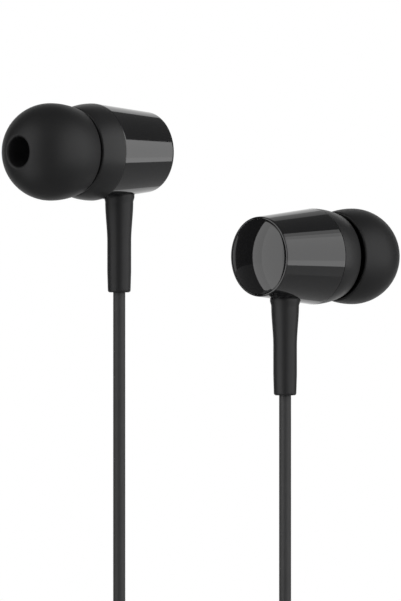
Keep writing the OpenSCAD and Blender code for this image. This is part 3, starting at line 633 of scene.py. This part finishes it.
def makeTie(name, node, coil, turned):
    t = tie
    pitch = coil["diameter"] + cords["turnGap"]
    outer = coil["outer"] + coil["diameter"] / 2
    inner = coil["outer"] - pitch * coil["turns"] / coil["layers"] - coil["diameter"] / 2
    top = coil["low"] + pitch * (coil["layers"] - 1) + coil["diameter"] / 2
    bm = bmesh.new()
    for grow in (0, t["band"]):
        reach = t["clearance"] + grow
        left, right = inner - reach, outer + reach
        low, high = cords["floor"] - reach, top + reach
        corners = [bm.verts.new((x, t["width"] / 2, z))
                   for x, z in ((left, low), (right, low), (right, high), (left, high))]
        for i in range(4):
            bm.edges.new((corners[i - 1], corners[i]))
        bmesh.ops.bevel(bm, geom=corners, offset=t["corner"] + grow, affect="VERTICES", segments=8,
                        profile=0.5, material=-1)
    faces = bmesh.ops.bridge_loops(bm, edges=bm.edges[:])["faces"]
    pushed = bmesh.ops.extrude_face_region(bm, geom=faces)
    bmesh.ops.translate(bm, vec=(0, -t["width"], 0),
                        verts=[v for v in pushed["geom"] if isinstance(v, bmesh.types.BMVert)])
    bmesh.ops.recalc_face_normals(bm, faces=bm.faces)
    rims = [e for e in bm.edges if len(e.link_faces) == 2 and e.calc_face_angle() > 1]
    bmesh.ops.bevel(bm, geom=rims, offset=t["edge"], affect="EDGES", segments=2, profile=0.5, material=-1)
    middle = (top + cords["floor"]) / 2
    twisted = bmesh.new()
    face = bmesh.ops.create_grid(twisted, x_segments=1, y_segments=1, size=0.5)["verts"][0].link_faces[0]
    bmesh.ops.transform(twisted, matrix=Matrix.Rotation(math.pi / 2, 4, "Y")
                        @ Matrix.Diagonal((t["twistThick"], t["twistWidth"], 1, 1)), verts=twisted.verts)
    for i in range(t["twistSteps"]):
        grown = bmesh.ops.extrude_face_region(twisted, geom=[face])["geom"]
        if i:
            bmesh.ops.delete(twisted, geom=[face], context="FACES_ONLY")
        face = [g for g in grown if isinstance(g, bmesh.types.BMFace)][0]
        onwards = (t["twistEnd"] - t["twistStart"]) / t["twistSteps"]
        bmesh.ops.translate(twisted, vec=(onwards, 0, 0), verts=face.verts)
        bmesh.ops.rotate(twisted, cent=(0, 0, 0), verts=face.verts,
                         matrix=Matrix.Rotation(math.radians(t["twist"] / t["twistSteps"]), 3, "X"))
    bmesh.ops.recalc_face_normals(twisted, faces=twisted.faces)
    start = outer + t["clearance"] + t["band"] + t["twistStart"]
    place = Matrix.Translation((*coil["centre"], 0)) @ Matrix.Rotation(math.radians(turned), 4, "Z")
    whole = joinShapes([(bm, Matrix()), (twisted, Matrix.Translation((start, 0, middle)))])
    piece = finishPiece(whole, name, place, "tie_plastic", sharpAngle=40)
    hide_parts(node)
    return piece


plugPieces = makePlug()
splitterPiece = makeSplitter()
branchTie = makeTie("branchCoilTie", "branch_coil_tie", rightCoil, turned=205)  # round both coils
mainTie = makeTie("mainCoilTie", "main_coil_tie", mainCoil, turned=150)
print("plug, splitter and ties made")

# The nozzle mesh and the sealed pieces keep their own solids
innerFinishes = {
    "nozzle_mesh": "mesh_steel", "driver_frame": "basket_plastic", "diaphragm": "diaphragm_film",
    "voice_coil": "coil_copper", "top_plate": "pole_steel", "magnet": "magnet_nickel", "yoke": "pole_steel",
    "damper_ring": "damper_felt", "terminal_board": "board", "lead_wires": "lead_insulation",
}


def dressNode(name, finish):
    node = cadNodes[name]
    if not node.material_slots:
        node.data.materials.append(finishes[finish])
    for held in node.material_slots:
        held.material = finishes[finish]


for side in sides:
    for name, finish in innerFinishes.items():
        dressNode(side + "_" + name, finish)
print("inner pieces dressed")

# Softboxes stand left and right in a dim tent that is open behind the object
studio = {"floor": -78.7, "floorRadius": 0.56, "floorCentre": (0.025, 0.01),
          "floorColour": (0.78, 0.78, 0.78), "floorRoughness": 0.9, "backLight": 0.5}
# heights and radius in metres, the openings in degrees from straight behind the object
tent = {
    "centre": 0.025, "radius": 1.3, "panels": 120,
    "bottom": -1.5, "openLow": -0.9, "dimLow": -0.2, "edgeHigh": 0.25, "openHigh": 0.78,
    "peakHigh": 1.3, "top": 1.6, "openLeft": 34, "openRight": 28, "edgeLeft": 46, "peakHalfAngle": 18,
}
cloths = {"dimCloth": 0.15, "lowCloth": 0.44, "frontCloth": 0.62, "leftCloth": 0.04, "edgeCloth": 0.33,
          "highCloth": 0.5}
softboxes = {
    # bearing in degrees right of the camera, height of the centre, distance, width and height in metres
    "rightBox": {"bearing": 65.2, "lift": 0.13, "distance": 0.6, "size": (1.014, 0.69), "radiance": 2.38},
    "rightUpper": {"bearing": 65.2, "lift": 0.54, "distance": 0.6, "size": (1.014, 0.13), "radiance": 1.85},
    "rightTop": {"bearing": 65.2, "lift": 0.7, "distance": 0.6, "size": (1.014, 0.19), "radiance": 1.15},
    "leftBox": {"bearing": -59.5, "lift": 0.0, "distance": 0.6, "size": (0.69, 1.5), "radiance": 2.4},
}
boxAim = Vector((0.027, 0, -0.007))
# cards that only gloss shows and only from one side, in millimetres: the caps and barrels mirror
# them in place of the other earpiece and the wound cords
cards = {
    "capCard": {"centre": (19.2, 0, -35.5), "size": (84, 14), "turn": 90, "glow": 2.88},
    "barrelCard": {"centre": (35.6, 0, -36.5), "size": (59, 13), "turn": -90, "glow": 0.44},
    "lowCard": {"centre": (21, 19, -66.9), "size": (58, 50), "turn": 0, "glow": 0.44},
}


def makeStage(name, bm, materials):
    mesh = bpy.data.meshes.new(name)
    bm.to_mesh(mesh)
    bm.free()
    for material in materials:
        mesh.materials.append(material)
    piece = bpy.data.objects.new(name, mesh)
    scene.collection.objects.link(piece)
    return piece


def makeFloor():
    bm = bmesh.new()
    bmesh.ops.create_circle(bm, cap_ends=True, segments=128, radius=studio["floorRadius"],
                            matrix=Matrix.Translation((*studio["floorCentre"], studio["floor"] * mm)))
    material = bpy.data.materials.new("paleFloor")
    material.use_nodes = True
    shader = material.node_tree.nodes["Principled BSDF"]
    shader.inputs["Base Color"].default_value = (*studio["floorColour"], 1)
    shader.inputs["Roughness"].default_value = studio["floorRoughness"]
    floor = makeStage("paleFloor", bm, [material])
    floor.visible_glossy = False  # gloss shows the tent and the whole softboxes instead


def makeGlow(name, strength):
    material = bpy.data.materials.new(name)
    material.use_nodes = True
    shader = material.node_tree.nodes["Principled BSDF"]
    shader.inputs["Base Color"].default_value = (0, 0, 0, 1)
    shader.inputs["Specular IOR Level"].default_value = 0
    shader.inputs["Emission Color"].default_value = (1, 1, 1, 1)
    shader.inputs["Emission Strength"].default_value = strength
    material.cycles.emission_sampling = "NONE"
    return material


# Rings of panels between a bottom and a lid; each panel gets its cloth by where it hangs
def makeTent():
    t = tent
    bm = bmesh.new()
    bmesh.ops.create_circle(bm, cap_ends=False, segments=t["panels"], radius=t["radius"],
                            matrix=Matrix.Translation((t["centre"], 0, t["bottom"])))
    edges = bm.edges[:]
    bmesh.ops.holes_fill(bm, edges=edges)
    base = t["bottom"]
    for high in (t["openLow"], t["dimLow"], t["edgeHigh"], t["openHigh"], t["peakHigh"], t["top"]):
        grown = bmesh.ops.extrude_edge_only(bm, edges=edges)["geom"]
        edges = [g for g in grown if isinstance(g, bmesh.types.BMEdge)]
        raised = [g for g in grown if isinstance(g, bmesh.types.BMVert)]
        bmesh.ops.translate(bm, vec=(0, 0, high - base), verts=raised)
        base = high
    bmesh.ops.holes_fill(bm, edges=edges)
    names = list(cloths)
    opening = []
    for panel in bm.faces:
        middle = panel.calc_center_median()
        outward = Vector((middle.x - t["centre"], middle.y, 0))
        right = outward.dot(toRight)
        back = math.degrees(outward.angle(lookAlong)) if outward.length > 0.1 else 180
        openTo = t["openRight"] if right > 0 else t["openLeft"]
        cloth = "dimCloth"
        if back < openTo and t["openLow"] < middle.z < t["openHigh"]:
            opening.append(panel)
        elif middle.z < t["dimLow"]:
            if right > -0.01:
                cloth = "frontCloth" if 90 < back < 180 else "lowCloth"
        elif t["openHigh"] < middle.z < t["peakHigh"] and back < t["peakHalfAngle"]:
            cloth = "highCloth"
        elif middle.z < t["edgeHigh"] and right < 0 and back < t["edgeLeft"]:
            cloth = "edgeCloth"
        elif right < -0.1:
            cloth = "leftCloth"
        panel.material_index = names.index(cloth)
    bmesh.ops.delete(bm, geom=opening, context="FACES")
    walls = makeStage("dimTent", bm, [makeGlow(name, glow) for name, glow in cloths.items()])
    walls.visible_camera = False


def makeSoftbox(name, box):
    data = bpy.data.lights.new(name, "AREA")
    data.shape = "RECTANGLE"
    data.size, data.size_y = box["size"]
    data.energy = box["radiance"] * math.pi * data.size * data.size_y
    lamp = bpy.data.objects.new(name, data)
    scene.collection.objects.link(lamp)
    lamp.visible_camera = False
    bearing = math.radians(box["bearing"])
    away = -lookAlong * math.cos(bearing) + toRight * math.sin(bearing)
    lamp.location = boxAim + away * box["distance"] + Vector((0, 0, box["lift"]))
    lamp.rotation_euler = (-away).to_track_quat("-Z", "Y").to_euler()


def makeCard(name, card):
    bm = bmesh.new()
    turned = Matrix.Rotation(math.radians(card["turn"]), 4, "Y") @ Matrix.Diagonal((*card["size"], 1, 1))
    bmesh.ops.create_grid(bm, x_segments=1, y_segments=1, size=mm / 2,
                          matrix=Matrix.Translation(Vector(card["centre"]) * mm) @ turned)
    material = makeGlow(name, card["glow"])
    nodes = material.node_tree.nodes
    links = material.node_tree.links
    choice = nodes.new("ShaderNodeMixShader")
    links.new(nodes.new("ShaderNodeNewGeometry").outputs["Backfacing"], choice.inputs["Fac"])
    links.new(nodes["Principled BSDF"].outputs["BSDF"], choice.inputs[1])
    links.new(nodes.new("ShaderNodeBsdfTransparent").outputs["BSDF"], choice.inputs[2])
    links.new(choice.outputs["Shader"], nodes["Material Output"].inputs["Surface"])
    piece = makeStage(name, bm, [material])
    piece.visible_camera = piece.visible_diffuse = piece.visible_shadow = piece.visible_transmission = False


# White behind everything, also in gloss and glass; matt surfaces get less of it
def makeWorld():
    world = bpy.data.worlds.new("studio")
    scene.world = world
    world.use_nodes = True
    nodes = world.node_tree.nodes
    links = world.node_tree.links
    soft = nodes["Background"]
    soft.inputs["Color"].default_value = (1, 1, 1, 1)
    soft.inputs["Strength"].default_value = studio["backLight"]
    white = nodes.new("ShaderNodeBackground")
    white.inputs["Color"].default_value = (1, 1, 1, 1)
    white.inputs["Strength"].default_value = 1
    rays = nodes.new("ShaderNodeLightPath")
    shown = rays.outputs["Is Camera Ray"]
    for other in ("Is Glossy Ray", "Is Transmission Ray"):
        either = nodes.new("ShaderNodeMath")
        either.operation = "MAXIMUM"
        links.new(shown, either.inputs[0])
        links.new(rays.outputs[other], either.inputs[1])
        shown = either.outputs["Value"]
    choice = nodes.new("ShaderNodeMixShader")
    links.new(shown, choice.inputs["Fac"])
    links.new(soft.outputs["Background"], choice.inputs[1])
    links.new(white.outputs["Background"], choice.inputs[2])
    links.new(choice.outputs["Shader"], nodes["World Output"].inputs["Surface"])


scene.view_settings.view_transform = "Standard"
makeFloor()
makeTent()
makeWorld()
for name, box in softboxes.items():
    makeSoftbox(name, box)
for name, card in cards.items():
    makeCard(name, card)
print("floor and light set")
